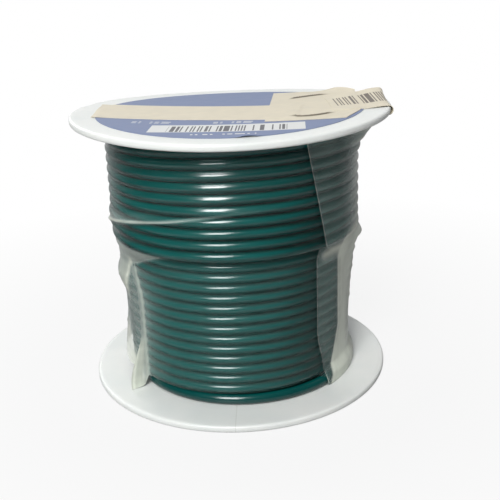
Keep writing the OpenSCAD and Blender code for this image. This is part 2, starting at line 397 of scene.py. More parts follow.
def wire_line():
    """Centre line of the wire: level for most of each turn, then crossing to the next at the back."""
    turns = turn_places()
    last_steps = round(STEPS_PER_TURN * LEVEL_SHARE) + 1
    line = []
    for turn, place in enumerate(turns):
        last = turn == len(turns) - 1
        next_place = place if last else turns[turn + 1]
        for step in range(last_steps if last else STEPS_PER_TURN):
            line.append(wire_point(turn, step / STEPS_PER_TURN, place, next_place, len(turns)))
    end_az = math.radians(TURN_START - 360 * LEVEL_SHARE)
    x, y, z = line[-1]
    line.append((x + CAD_WIRE_D * math.sin(end_az), y - CAD_WIRE_D * math.cos(end_az), z))
    return line


def wound_wire():
    """The whole wire that shows, as one tube."""
    clear_selection()
    bpy.ops.curve.primitive_bezier_curve_add()
    curve = named("wound_wire")
    curve.data.splines.clear()
    line = wire_line()
    spline = curve.data.splines.new("POLY")
    spline.points.add(len(line) - 1)
    spline.points.foreach_set("co", np.column_stack([np.array(line) * MM, np.ones(len(line))]).ravel())
    curve.data.dimensions = "3D"
    curve.data.twist_mode = "Z_UP"
    curve.data.bevel_depth = WIRE_D / 2 * MM
    curve.data.bevel_resolution = 5
    curve.data.use_fill_caps = True
    activate(curve)
    bpy.ops.object.convert(target="MESH")
    wire = named("wound_wire")
    finish_mesh(wire, SHARP_WIRE)
    return wire


def buried_turns():
    """The turns under the inner layer, which close the gaps between the ones that show."""
    clear_selection()
    bpy.ops.mesh.primitive_torus_add(
        major_radius=BURIED_LINE_R * MM, minor_radius=WIRE_D / 2 * MM, major_segments=72, minor_segments=10,
        location=(0, 0, FIRST_Z * MM))
    turns = named("buried_turns")
    settle(turns)
    count = int((UPPER_FACE / MM - FIRST_Z) / INNER_PITCH) + 1
    apply_modifier(turns, "ARRAY", count=count, use_relative_offset=False, use_constant_offset=True,
                   constant_offset_displace=(0, 0, INNER_PITCH * MM))
    finish_mesh(turns, SHARP_WIRE)
    return turns


# Film
# Angles are in degrees, heights and widths in millimetres. Two values in brackets are the ends of a rise,
# a fall or a blend or the middle and spread of a bump, and four are for a span. Three or five values start
# with the amount by which such a shape is scaled
FRONT_AZ = -90
BACK_RISE = (100, 135)
# The fold at the right lies nearer the front low down
FIN_ANGLES = (56.8, 46)
FIN_LEAN = (21, 2)
# The fold at the left leans back high up and stands out as a pleat, steep in front and flatter behind
RIDGE_ANGLE = 55.4
RIDGE_LEAN = (5, 33, 45)
PLEAT_OUT = 0.6
PLEAT_FOOT = (5.8, 4, 24)
PLEAT_TOP = (38, 45)
PLEAT_FRONT, PLEAT_REAR = 0.5, 1.5
# The crease that runs down across the outer layer, towards the left
CREASE_Z, CREASE_DROP, CREASE_RUN, CREASE_BEND = 67.6, 10, 96, 1.35
CREASE_ENDS = (-23, 107)
CREASE_SPAN = (-32, 38, 90, 110)
CREASE_LINE = (0.6, 0, 0.4)
# How deep the bridge over the step between the layers reaches, and how it bows at the right
BRIDGE_DEPTH = 1.2
BRIDGE_LEFT, BRIDGE_LEFT_BEND = 4.9, 1.6
BRIDGE_LEFT_RISE = (33, 56.5)
BRIDGE_FAR_LEFT = (2.4, 55, 77)
BRIDGE_RIGHT_GROWTH = 0.02
BRIDGE_RIGHT_ENDS = (40, 81)
BRIDGE_BACK_LOSS = (26.3, 81, 171)
BRIDGE_BOW = (0.5, 42, 62)
# Thin stretch creases at the sides and back: azimuth and height of the middle, rise in millimetres per
# degree and half length in degrees
STRETCH_CREASES = (
    (22, 66, 0.06, 30), (48, 33, -0.14, 44), (70, 73, 0.05, 52), (88, 22, 0.11, 48), (118, 44, -0.09, 42),
    (140, 67, 0.13, 40), (160, 29, -0.16, 26), (58, 12, 0.06, 40), (28, 40, 0.2, 24), (126, 13, 0.08, 40),
    (166, 77, -0.07, 24), (104, 58, -0.05, 36), (0, 41, -0.16, 24), (-4, 34, -0.42, 20), (0, 21, -0.5, 20),
    (6, 46, -0.04, 26), (174, 40, 0.2, 24), (178, 31, 0.45, 20), (177, 15, 0.4, 20))
STRETCH_LINE = 0.4
STRETCH_SLACK, STRETCH_FADE = (0.35, 0, 0.5), 2.5
STRETCH_OUT = 0.3


def leftward(azimuth):
    """Angle from the front, round by the left."""
    return (FRONT_AZ - azimuth) % 360


def rightward(azimuth):
    """Angle from the front, round by the right."""
    return (azimuth - FRONT_AZ) % 360


def behind(azimuth):
    """0 in front and 1 at the back, where the turns cross under the film."""
    return rise(np.minimum(leftward(azimuth), rightward(azimuth)), *BACK_RISE)


def fin_border(z):
    """Angle at which the film leaves the inner layer on the right."""
    return blend(FIN_ANGLES, straight(z, *FIN_LEAN))


def ridge_angle(z):
    """Angle of the fold that runs down the inner layer on the left."""
    return RIDGE_ANGLE + scaled(rise, RIDGE_LEAN, z)


def pleat(azimuth, z):
    """A fold at the left that stands out as a thin fin near the lower flange."""
    off = leftward(azimuth) - ridge_angle(z)
    shape = peak(off, 0, np.where(off < 0, PLEAT_FRONT, PLEAT_REAR))
    return shape * (PLEAT_OUT + scaled(fall, PLEAT_FOOT, z)) * fall(z, *PLEAT_TOP)


def crease_z(azimuth):
    """Height of the crease that runs across the outer layer."""
    run = np.clip(apart(FRONT_AZ, azimuth), *CREASE_ENDS) - CREASE_ENDS[0]
    return CREASE_Z - CREASE_DROP * (run / CREASE_RUN) ** CREASE_BEND


def crease_share(azimuth):
    """How strong that crease is: faint at the right, strong at the left and gone at the back."""
    return span(apart(FRONT_AZ, azimuth), *CREASE_SPAN)


def stretch_creases(azimuth, z):
    """Thin straight creases round the sides and back, strongest at their middles."""
    creases = 0
    for middle, height, slope, half in STRETCH_CREASES:
        away = apart(azimuth, middle)
        off = z - height - slope * away
        slack = scaled(rise, STRETCH_SLACK, off) * peak(off, 0, STRETCH_FADE)
        fading = np.clip(1 - (away / half) ** 2, 0, 1)
        creases = creases + fading * (bump(off, 0, STRETCH_LINE) + slack)
    return creases


def bridge_depth(azimuth):
    """How far below the outer layer the film meets the inner one."""
    left, right = leftward(azimuth), rightward(azimuth)
    by_left = BRIDGE_LEFT * straight(left, *BRIDGE_LEFT_RISE) ** BRIDGE_LEFT_BEND
    by_left = by_left + scaled(rise, BRIDGE_FAR_LEFT, left)
    reach = np.clip(right, *BRIDGE_RIGHT_ENDS) - BRIDGE_RIGHT_ENDS[0]
    by_right = BRIDGE_RIGHT_GROWTH * reach ** 2 - scaled(rise, BRIDGE_BACK_LOSS, right)
    return BRIDGE_DEPTH + np.where(right < 180, by_right, by_left)


def between_outer(azimuth, z):
    """0 on the middle of a turn of the outer layer and 1 between two turns."""
    even_z = z + outer_sink(azimuth, z)
    return (1 - np.cos(2 * np.pi * (even_z - OUTER_LOW_Z) / OUTER_PITCH)) / 2


def between_inner(z):
    """0 on the middle of a turn of the inner layer and 1 between two turns."""
    return (1 - np.cos(2 * np.pi * (z - FIRST_Z) / INNER_PITCH)) / 2


# How far the film stands off the layers, and over how many degrees it lets go of the inner one at its folds
TAUT_RISE = (60, 68)
BACK_STAND, BACK_STAND_RIGHT, BACK_STAND_LEFT = 0.35, 1.2, 0.75
LEFT_STAND = (0.45, 56, 68)
FIN_EASE, RIDGE_EASE = 8, 5


def film_on_layers(azimuth, z, cling):
    """Distance from the axis of a film that lies on the two layers and bridges the step between them."""
    left, right = leftward(azimuth), rightward(azimuth)
    on_right = right < 180
    back = behind(azimuth)
    border, ridge = fin_border(z), ridge_angle(z)
    sag = blend((FILM_SAG, FILM_TAUT_SAG), rise(z, *TAUT_RISE)) * cling * (1 - back)
    upper = OUTER_LINE_R + WIRE_D / 2 + FILM_GAP - sag * between_outer(azimuth, z) + BACK_STAND * back
    loose_right, loose_left = rise(right, border - FIN_EASE, border), rise(left, ridge - RIDGE_EASE, ridge)
    sag = FILM_SAG * cling * (1 - np.where(on_right, loose_right, loose_left))
    stand_left = scaled(rise, LEFT_STAND, left) + BACK_STAND_LEFT * back
    stand = np.where(on_right, BACK_STAND_RIGHT * back, stand_left)
    lower = INNER_LINE_R + WIRE_D / 2 + FILM_GAP - sag * between_inner(z) + stand
    share = straight(z, SHOULDER_Z - bridge_depth(azimuth), SHOULDER_Z)
    bow = np.where(on_right, scaled(rise, BRIDGE_BOW, right) * (1 - back), 0)
    return lower + (upper - lower) * share ** (1 + bow)


# Puffs of the film round the step, at the left and at the right, and a lesser one high up at the left
LEFT_PUFF_SPAN = (58, 74, 90, 125)
LOW_PUFF_OUT, LOW_PUFF_Z, LOW_PUFF_ABOVE, LOW_PUFF_BELOW = 2.1, 38.2, 2.4, 3.2
STEP_PUFF = (0.65, 43.6, 1.8)
RIGHT_PUFF, RIGHT_PUFF_ANGLES = (1.9, 48.2, 1.9), (84, 12)
HIGH_PUFF, HIGH_PUFF_ANGLES = (0.7, 58, 1.9), (84, 14)


def film_puffs(azimuth, z):
    """How far the film puffs out at the sides."""
    left, right = leftward(azimuth), rightward(azimuth)
    low = LOW_PUFF_OUT * bump(z, LOW_PUFF_Z, np.where(z > LOW_PUFF_Z, LOW_PUFF_ABOVE, LOW_PUFF_BELOW))
    puffs = span(left, *LEFT_PUFF_SPAN) * (low + scaled(bump, STEP_PUFF, z))
    puffs = puffs + bump(right, *RIGHT_PUFF_ANGLES) * scaled(peak, RIGHT_PUFF, z)
    return puffs + bump(left, *HIGH_PUFF_ANGLES) * scaled(bump, HIGH_PUFF, z)


# The free edges: the flare under the upper flange, the skirt at the left and the foot over the loose turn
FLARE_AZ, FLARE_REACH = -6, 36
FLARE_OUT, FLARE_BEND = 7, 1.8
FLARE_RISE = (75, 86.3)
SKIRT, SKIRT_SPAN = (2.28, 23, 5), (57, 67, 90, 120)
LOOSE_FOOT, LOOSE_FOOT_SPAN = (1.75, 5, 9), (42, 46, 135, 165)


def film_edges(azimuth, z):
    """How far the film stands out at its upper and lower edges."""
    near = fall(np.abs(apart(azimuth, FLARE_AZ)), 0, FLARE_REACH)
    flare = FLARE_OUT * near * straight(z, *FLARE_RISE) ** FLARE_BEND
    skirt = span(leftward(azimuth), *SKIRT_SPAN) * scaled(straight, SKIRT, z)
    return flare + skirt + span(rightward(azimuth), *LOOSE_FOOT_SPAN) * scaled(fall, LOOSE_FOOT, z)


# Ripples at the back: waves round the film, lean in radians per millimetre and start in radians
RIPPLE_OUT = 0.25
RIPPLES = ((7, 0.05, 0), (3, -0.07, 1))


def film_radius(azimuth, z, cling):
    """Distance of the film from the axis: on the turns in front, off them at its folds and at the back."""
    radius = film_on_layers(azimuth, z, cling) + film_puffs(azimuth, z) + film_edges(azimuth, z)
    radius = radius + crease_share(azimuth) * scaled(bump, CREASE_LINE, z - crease_z(azimuth))
    radius = radius + pleat(azimuth, z) + STRETCH_OUT * stretch_creases(azimuth, z)
    ripple = 1
    for waves, lean, start in RIPPLES:
        ripple = ripple * np.sin(waves * np.radians(azimuth) + lean * z + start)
    return radius + RIPPLE_OUT * behind(azimuth) * (1 + ripple)


# How milky the film is, from 0 to 1: on the turns and between them, and where it lies double up to its edge
HAZE_MOST = 0.9
BELOW_STEP = (SHOULDER_Z - 0.5, SHOULDER_Z + 1)
CLEAR_HAZE, LOW_HAZE = 0.003, 0.025
# Between the turns the bridging film is milkier, partly a painted lift of the shade in the gaps
GAP_HAZE_AND_FILL, LOW_GAP_HAZE_AND_FILL = 0.012, 0.024
LAP_HAZE, LAP_TURN_HAZE = 0.085, 0.1
LAP_TOP_HAZE = (0.1, 78, 83)
LAP_END = (60, 100)
# A pale line along the film's edge, partly a painted edge highlight
EDGE_HAZE_AND_HIGHLIGHT = (0.45, 0, 0.3)
# At the right: off the inner layer with its fold, in the corner under the step and where the film turns away
FIN_HAZE, FIN_DEEP_HAZE = (0.56, 0, 1.5), (0.2, 2, 6)
FIN_LINE_HAZE, FIN_FOLD_HAZE = (0.2, 1, 0.8), (0.16, 0, 1)
FIN_FOLD, FIN_FOLD_RISE = (2, 7), (5, 25)
CORNER_START, CORNER_RISE = (41, 47), (41, 71)
CORNER_HAZE, CORNER_Z, CORNER_SPREAD = (0.48, 0.65), (47.3, 49), (1.2, 2.7)
AWAY_RISE = (52, 76)
AWAY_HAZE, AWAY_TURN_HAZE = 0.3, 0.12
# At the left: on the bridge, along its foot and on the turns past the ridge
BRIDGE_START, BRIDGE_TOP = (33, 43), (SHOULDER_Z - 1.2, SHOULDER_Z)
BRIDGE_HAZE, BRIDGE_LOW_HAZE = 0.39, (0.12, 41, 46)
BRIDGE_DROP = (10.5, 62, 69)
BRIDGE_SOFT, BRIDGE_SOFT_RISE = (1.2, 5.2), (66, 80)
FOOT_LINE_HAZE = (0.35, 33, 41, 67, 75)
FOOT_LINE_SPREAD, FOOT_LINE_RISE = (0.5, 2), (60, 66)
PAST_HAZE, PAST_TURN_HAZE, PAST_TURN_BEND = 0.16, 0.14, 0.4
PAST_RISE = (0, 2)
# At the ridge: on the skirt, above the step, on the ridge and its foot and on the turns before it
SKIRT_HAZE, SKIRT_HAZE_TOP = (0.42, 56, 64), (17, 27)
SKIRT_LEAN, SKIRT_LEAN_Z = 0.9, 8
UPPER_LEFT_HAZE = (0.15, 50, 80)
RIDGE_HAZE, RIDGE_TOP = (0.34, 0, 1.2), (43, 46)
RIDGE_FOOT_HAZE, RIDGE_FOOT_TOP = (0.35, 54.6, 55.1, 57, 60), (14, 22)
BEFORE_HAZE, BEFORE_FAR_HAZE = (0.3, 0, 6), (0.05, 33, 53)
BEFORE_RISE = (0, 1.5)
# Along the creases, and all over the back
CREASE_HAZE = (0.5, 0.1, 0.34)
CREASE_PALE_HAZE, CREASE_PALE_BAND = (0.18, 25, 60, 90, 110), (0, 0.4, 1.5, 4)
# The milky lines along the stretch creases are partly a painted glint
STRETCH_HAZE_AND_GLINT, BACK_HAZE = 0.2, 0.03
# The milky sides fade towards the back along an uneven line, sooner where the film lies under its own lap.
# A row of that line is a swing in degrees, a wave in radians per millimetre and its start
LEFT_FADE, RIGHT_FADE = (64, 108), (64, 110)
UNEVEN_LINE = ((3, 0.17, 0), (2, 0.41, 1))
UNDER_LAP_LOSS = (0.7, 330, 350)


def on_turns(azimuth, z):
    """1 on the middle of a turn and 0 between two turns."""
    return 1 - np.where(z > SHOULDER_Z, between_outer(azimuth, z), between_inner(z))


def haze_on_turns(azimuth, z, beyond_edge):
    """Haze on the turns, and of the lap with its edge; in the gaps and on the edge it is partly painted
    light.
    """
    below, turns = fall(z, *BELOW_STEP), on_turns(azimuth, z)
    haze = CLEAR_HAZE + LOW_HAZE * below + (GAP_HAZE_AND_FILL + LOW_GAP_HAZE_AND_FILL * below) * (1 - turns) ** 2
    lap = LAP_HAZE + LAP_TURN_HAZE * turns + scaled(rise, LAP_TOP_HAZE, z)
    return haze + lap * fall(beyond_edge, *LAP_END) + scaled(peak, EDGE_HAZE_AND_HIGHLIGHT, beyond_edge)


def haze_at_right(azimuth, z):
    """Haze off the inner layer, in the corner under the step and where the film turns away."""
    right, below = rightward(azimuth), fall(z, *BELOW_STEP)
    past = right - fin_border(z)
    fold = blend(FIN_FOLD, rise(z, *FIN_FOLD_RISE))
    fin = scaled(rise, FIN_HAZE, past) + scaled(rise, FIN_DEEP_HAZE, past)
    fin = fin + scaled(bump, FIN_LINE_HAZE, past) + scaled(bump, FIN_FOLD_HAZE, past - fold)
    share = rise(right, *CORNER_RISE)
    corner = blend(CORNER_HAZE, share) * bump(z, blend(CORNER_Z, share), blend(CORNER_SPREAD, share))
    away = rise(right, *AWAY_RISE) * (AWAY_HAZE + AWAY_TURN_HAZE * on_turns(azimuth, z))
    return below * fin + rise(right, *CORNER_START) * corner + (1 - below) * away


def haze_at_bridge(azimuth, z, fading):
    """Haze on the bridge at the left, along its foot and on the turns past the ridge."""
    left = leftward(azimuth)
    foot = SHOULDER_Z - bridge_depth(azimuth) - scaled(rise, BRIDGE_DROP, left)
    soft = blend(BRIDGE_SOFT, rise(left, *BRIDGE_SOFT_RISE))
    bridging = fall(z, *BRIDGE_TOP) * rise(z, foot, foot + soft) * fading
    bridge = rise(left, *BRIDGE_START) * (BRIDGE_HAZE + scaled(fall, BRIDGE_LOW_HAZE, z))
    spread = blend(FOOT_LINE_SPREAD, rise(left, *FOOT_LINE_RISE))
    line = bump(z, foot, spread) * scaled(span, FOOT_LINE_HAZE, left)
    past = rise(left - ridge_angle(z), *PAST_RISE) * fall(z, *BELOW_STEP) * fading
    past = past * (PAST_HAZE + PAST_TURN_HAZE * on_turns(azimuth, z) ** PAST_TURN_BEND)
    return bridging * bridge + line + past * (1 - bridging)


def haze_at_ridge(azimuth, z, fading):
    """Haze on the skirt, above the step, on the ridge and its foot and on the turns before it."""
    left, below = leftward(azimuth), fall(z, *BELOW_STEP)
    before, low = ridge_angle(z) - left, fall(z, *RIDGE_TOP)
    leaning = left - SKIRT_LEAN * (z - SKIRT_LEAN_Z)
    skirt = scaled(rise, SKIRT_HAZE, leaning) * fall(z, *SKIRT_HAZE_TOP)
    haze = fading * (skirt + scaled(rise, UPPER_LEFT_HAZE, left) * (1 - below))
    haze = haze + scaled(bump, RIDGE_HAZE, before) * low
    haze = haze + scaled(span, RIDGE_FOOT_HAZE, left) * fall(z, *RIDGE_FOOT_TOP)
    near = scaled(peak, BEFORE_HAZE, before) + scaled(rise, BEFORE_FAR_HAZE, left)
    return haze + near * rise(before, *BEFORE_RISE) * below * low


def haze_at_creases(azimuth, z):
    """Haze along the long crease, in the pale band above it and along the stretch creases, partly a painted
    glint.
    """
    up = z - crease_z(azimuth)
    line = crease_share(azimuth) ** 2 * scaled(bump, CREASE_HAZE, up)
    band = scaled(span, CREASE_PALE_HAZE, leftward(azimuth)) * span(up, *CREASE_PALE_BAND)
    return line + band + STRETCH_HAZE_AND_GLINT * stretch_creases(azimuth, z)


def film_haze(azimuth, z, beyond_edge):
    """How milky the film is: along its folds, where it stands off the wire and where it lies double, with
    some painted light.
    """
    uneven = sum(swing * np.sin(wave * z + start) for swing, wave, start in UNEVEN_LINE)
    to_left = fall(leftward(azimuth) - uneven, *LEFT_FADE)
    to_right = fall(rightward(azimuth) + uneven, *RIGHT_FADE)
    to_right = to_right * (1 - scaled(rise, UNDER_LAP_LOSS, beyond_edge))
    haze = haze_on_turns(azimuth, z, beyond_edge) + to_right * haze_at_right(azimuth, z)
    haze = haze + haze_at_bridge(azimuth, z, to_left) + haze_at_ridge(azimuth, z, to_left)
    haze = haze + haze_at_creases(azimuth, z) + BACK_HAZE * behind(azimuth)
    return np.clip(haze, 0, HAZE_MOST)


# The outer edge, by azimuth: it leans down the outer layer, steps at the shoulder and swings at its foot
EDGE_SHOULDER_Z, EDGE_SHOULDER_AZ = 49, -48.4
EDGE_LEAN = -10.7 / 35.5
EDGE_LOW_AZ, EDGE_STEP, EDGE_FOOT = -50.4, (2, 45, 49), (5.7, 0, 20)
EDGE_EASE = 40
# Columns lie closer together at the ridge, the fin and the edge
COLUMN_SAMPLES = 4000
RIDGE_COLUMNS, FIN_COLUMNS, EDGE_COLUMNS = (6, 56, 2.5), (1.5, 55, 6), (2, 0, 2)
# The lower edge bares the loose turn in front and is lifted at the left
BARE_RIGHT, BARE_LEFT = (42, 45), (53.8, 55)
LIFTED_FOOT = (5.4, 56.6, 60.6, 110, 150)
# The outer ply stands off the inner one and clings less at its edge and at its top
PLY_EASE = 40
EDGE_STAND, EDGE_SLACK = (0.3, 0, 0.8), (0.85, 0, 4)
TOP_SLACK, TOP_SLACK_END = (79, 83), (100, 130)


def film_edge(z):
    """Azimuth of the film's outer edge."""
    upper = EDGE_SHOULDER_AZ + EDGE_LEAN * (z - EDGE_SHOULDER_Z)
    lower = EDGE_LOW_AZ + scaled(rise, EDGE_STEP, z) + scaled(fall, EDGE_FOOT, z)
    return np.where(z > EDGE_SHOULDER_Z, upper, lower)


def film_columns():
    """Places of the film's columns round the winding, closer together at its folds."""
    along = np.linspace(0, 360 + FILM_LAP, COLUMN_SAMPLES)
    azimuth = FILM_EDGE_AZ + along
    closeness = 1 + scaled(bump, RIDGE_COLUMNS, leftward(azimuth)) + scaled(peak, EDGE_COLUMNS, along)
    closeness = closeness + scaled(bump, FIN_COLUMNS, rightward(azimuth))
    total = np.concatenate([[0], np.cumsum((closeness[1:] + closeness[:-1]) / 2)])
    return np.interp(np.linspace(0, 1, FILM_COLUMNS + 1), total / total[-1], along)


def film_wrap():
    """A flat sheet, wrapped once round the winding and on over its own start."""
    clear_selection()
    bpy.ops.mesh.primitive_grid_add(x_subdivisions=FILM_COLUMNS, y_subdivisions=FILM_ROWS, size=1)
    film = named("clear_film")
    flat = points_of(film)
    column = np.rint((flat[:, 0] + 0.5) * FILM_COLUMNS).astype(int)
    along, up = film_columns()[column], flat[:, 1] + 0.5
    z = FILM_FOOT + (FILM_TOP - FILM_FOOT) * up
    azimuth = FILM_EDGE_AZ + along + (film_edge(z) - FILM_EDGE_AZ) * fall(along, 0, EDGE_EASE)
    left, right = leftward(azimuth), rightward(azimuth)
    bare = np.where(right < 180, fall(right, *BARE_RIGHT), fall(left, *BARE_LEFT))
    foot = blend((FILM_FOOT, FILM_BARE_FOOT), bare) + scaled(span, LIFTED_FOOT, left)
    z = foot + (FILM_TOP - foot) * up
    ply = FILM_PLY * fall(along, FILM_LAP, FILM_LAP + PLY_EASE) + scaled(peak, EDGE_STAND, along)
    cling = 1 - scaled(peak, EDGE_SLACK, along)
    cling = cling * (1 - rise(z, *TOP_SLACK) * fall(along, *TOP_SLACK_END))
    radius, turn = film_radius(azimuth, z, cling) + ply, np.radians(azimuth)
    place_points(film, np.column_stack([radius * np.cos(turn), radius * np.sin(turn), z]) * MM)
    keep_values(film, "haze", film_haze(azimuth, z, along))
    activate(film)
    bpy.ops.object.shade_smooth()
    return film


# Paper on top, in millimetres
LABEL_Y = (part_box("round_label")[0].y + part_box("round_label")[1].y) / 2 / MM
LABEL_STEPS = 180
LABEL_RINGS = (0.3, 0.5, 0.7, 1, 1, 1.5, 2, 3, 4, 5, 6, 6, 6)
LABEL_GAP = 0.02
LABEL_LIFT, LABEL_LIFT_REACH = (0.5, -84, 2.4), 5
STRIP_X, STRIP_Y = -12.5, -2.5
STRIP_L, STRIP_W = 70, 25.5
STRIP_TURN = -11
STRIP_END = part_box("paper_strip")[0].x / MM
STRIP_LIFT, STRIP_LIFT_WAVE = (0.25, STRIP_END, STRIP_END + 5), 3
STICKER_X, STICKER_Y = 27.5, 3.5
STICKER_W, STICKER_L = 29, 57
STICKER_TURN = -6
FRONT_CUT = (4.8, 11.6)
BACK_CUT = (7, 6.6)
CURL_LIFT = 2
CURL_X_RISE = (31, 45)
CURL_Y_RISE = (18, 32)
PAPER = PAPER_T / MM
PAPER_GAP = 0.03
SOFT_STEP = 1.2
# The long wrinkles across the wide sticker: y at the start, swing, ends along x, part of a wave in radians
# and the span of x in which the wrinkle shows
STICKER_WRINKLES = (
    (16.5, 4.8, (20, 36), 1.6, (19.5, 22.5, 31, 36)),
    (-17, -2.2, (17, 32), 3.6, (17, 20, 29, 33)))
WRINKLE_LIFT, WRINKLE_NEAR, WRINKLE_FAR = 0.5, 0.22, 0.7
# The painted shadow beside each wrinkle: its offset from the ridge and its spread
WRINKLE_SHADOW_BAND = (-0.3, 0.32)
# The flag, which folds round the rim; its far side stands up and out
FLAG_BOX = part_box("barcode_flag")
FLAG_W = (FLAG_BOX[1].y - FLAG_BOX[0].y) / MM
FLAG_Y = (FLAG_BOX[1].y + FLAG_BOX[0].y) / 2 / MM
FLAG_FROM = FLAG_BOX[0].x / MM
FLAG_UNDER = 1.5
FLAG_FOLD_GAP = 0.25
FLAG_FOLD_IN = 1.3
FLAG_FAR_OUT = 1.9
FLAG_FAR_UP, FLAG_FAR_BEND = 1.6, 1.5
FLAG_RIM_IN, FLAG_CURL_IN = 0.5, 1
FLAG_GAP = 0.04
FLAG_EASE = 8


def turned(x, y, middle_x, middle_y, turn):
    """Places along and across a paper that lies turned."""
    angle = math.radians(turn)
    dx, dy = x - middle_x, y - middle_y
    return dx * math.cos(angle) + dy * math.sin(angle), dy * math.cos(angle) - dx * math.sin(angle)


def laid(along, across, middle_x, middle_y, turn):
    """Where places along and across a turned paper lie on the flange."""
    angle = math.radians(turn)
    x = middle_x + along * math.cos(angle) - across * math.sin(angle)
    y = middle_y + along * math.sin(angle) + across * math.cos(angle)
    return x, y


def over(edge):
    """1 where a paper reaches under a point and 0 where it doesn't, with a soft step between them."""
    return rise(edge, -SOFT_STEP / 2, SOFT_STEP / 2)


def sticker_right(across):
    """The wide sticker's right edge, whose two corners are cut off."""
    front = straight(-across, STICKER_L / 2 - FRONT_CUT[1], STICKER_L / 2)
    back = straight(across, STICKER_L / 2 - BACK_CUT[1], STICKER_L / 2)
    return STICKER_W / 2 - FRONT_CUT[0] * front - BACK_CUT[0] * back


def top_z(x, y, papers):
    """Height of the bent flange with the first papers on it."""
    height = OVERALL_H / MM + flange_lift(x * MM, y * MM) / MM
    on_label = over(LABEL_R / MM - np.hypot(x, y - LABEL_Y))
    along, across = turned(x, y, STRIP_X, STRIP_Y, STRIP_TURN)
    on_strip = over(STRIP_W / 2 - np.abs(across)) * over(x - STRIP_END) * over(STRIP_L / 2 - along)
    along, across = turned(x, y, STICKER_X, STICKER_Y, STICKER_TURN)
    on_sticker = over(STICKER_L / 2 - np.abs(across)) * over(along + STICKER_W / 2)
    on_sticker = on_sticker * over(sticker_right(across) - along)
    return height + PAPER * sum([on_label, on_strip, on_sticker][:papers])


def label_lift(x, y):
    """The label's front edge has come up a little."""
    azimuth, out = np.degrees(np.arctan2(y, x)), np.hypot(x, y - LABEL_Y)
    edge = rise(out, LABEL_R / MM - LABEL_LIFT_REACH, LABEL_R / MM)
    return scaled(bump, LABEL_LIFT, azimuth) * edge ** 2


def strip_lift(x, y):
    """The strip's left end doesn't stick quite flat."""
    return scaled(fall, STRIP_LIFT, x) * (1 + np.sin(y / STRIP_LIFT_WAVE)) / 2


def wrinkle(off):
    """A sharp ridge across a paper, steeper on its near side."""
    return peak(off, 0, np.where(off < 0, WRINKLE_NEAR, WRINKLE_FAR))


def sticker_wrinkles(x, y):
    """Distances from the two long wrinkles across the wide sticker, and how strong each one is."""
    for start_y, swing, ends, wave, shown in STICKER_WRINKLES:
        middle = start_y + swing * np.sin(wave * straight(x, *ends))
        yield y - middle, span(x, *shown)


def sticker_lift(x, y):
    """The wrinkles stand up, and a corner at the back curls."""
    ridges = sum(wrinkle(off) * strength for off, strength in sticker_wrinkles(x, y))
    return WRINKLE_LIFT * ridges + CURL_LIFT * rise(x, *CURL_X_RISE) * rise(y, *CURL_Y_RISE)


def round_label():
    """The printed disc on the upper flange."""
    clear_selection()
    bpy.ops.mesh.primitive_cylinder_add(
        vertices=LABEL_STEPS, radius=LABEL_R, depth=PAPER_T, location=(0, LABEL_Y * MM, 0))
    label = named("printed_label")
    settle(label)
    select_faces(label, lambda c: math.hypot(c.x, c.y - LABEL_Y * MM) < NEAR)
    for width in LABEL_RINGS:
        bpy.ops.mesh.inset(thickness=width * MM)
    bpy.ops.mesh.poke()
    bpy.ops.object.mode_set(mode="OBJECT")
    x, y, thick = (points_of(label) / MM).T
    z = top_z(x, y, 0) + PAPER / 2 + thick + LABEL_GAP + label_lift(x, y)
    place_points(label, np.column_stack([x, y, z]) * MM)
    finish_mesh(label, SHARP_PAPER)
    return label


def flat_paper(name, columns, rows):
    """A flat sheet of fine squares, and the places of its points from -1 to 1 each way."""
    clear_selection()
    bpy.ops.mesh.primitive_grid_add(x_subdivisions=columns, y_subdivisions=rows, size=2)
    paper = named(name)
    u, v = points_of(paper).T[:2]
    return paper, u, v


def drape(paper, x, y, papers, lift):
    """Lays a paper on what is under it and gives it its thickness."""
    z = top_z(x, y, papers) + PAPER_GAP * papers + PAPER + lift
    place_points(paper, np.column_stack([x, y, z]) * MM)
    apply_modifier(paper, "SOLIDIFY", thickness=PAPER_T, offset=-1)
    finish_mesh(paper, SHARP_PAPER)


def paper_strip():
    """A long strip whose left end is cut from front to back."""
    paper, u, v = flat_paper("cream_strip", columns=100, rows=50)
    angle = math.radians(STRIP_TURN)
    across = v * STRIP_W / 2
    cut = (STRIP_END - STRIP_X + across * math.sin(angle)) / math.cos(angle)
    along = cut + (STRIP_L / 2 - cut) * (u + 1) / 2
    x, y = laid(along, across, STRIP_X, STRIP_Y, STRIP_TURN)
    drape(paper, x, y, 1, strip_lift(x, y))
    return paper


def wide_sticker():
    """A sticker with its two right corners cut off."""
    paper, u, v = flat_paper("cream_sticker", columns=90, rows=200)
    across = v * STICKER_L / 2
    along = -STICKER_W / 2 + (sticker_right(across) + STICKER_W / 2) * (u + 1) / 2
    x, y = laid(along, across, STICKER_X, STICKER_Y, STICKER_TURN)
    drape(paper, x, y, 2, sticker_lift(x, y))
    x, y = (points_of(paper) / MM).T[:2]
    creases = sticker_wrinkles(x, y)
    # A painted shadow along each wrinkle, kept as the value wrinkle
    dark = sum(bump(off, *WRINKLE_SHADOW_BAND) * strength for off, strength in creases)
    keep_values(paper, "wrinkle", np.clip(dark, 0, 1))
    return paper


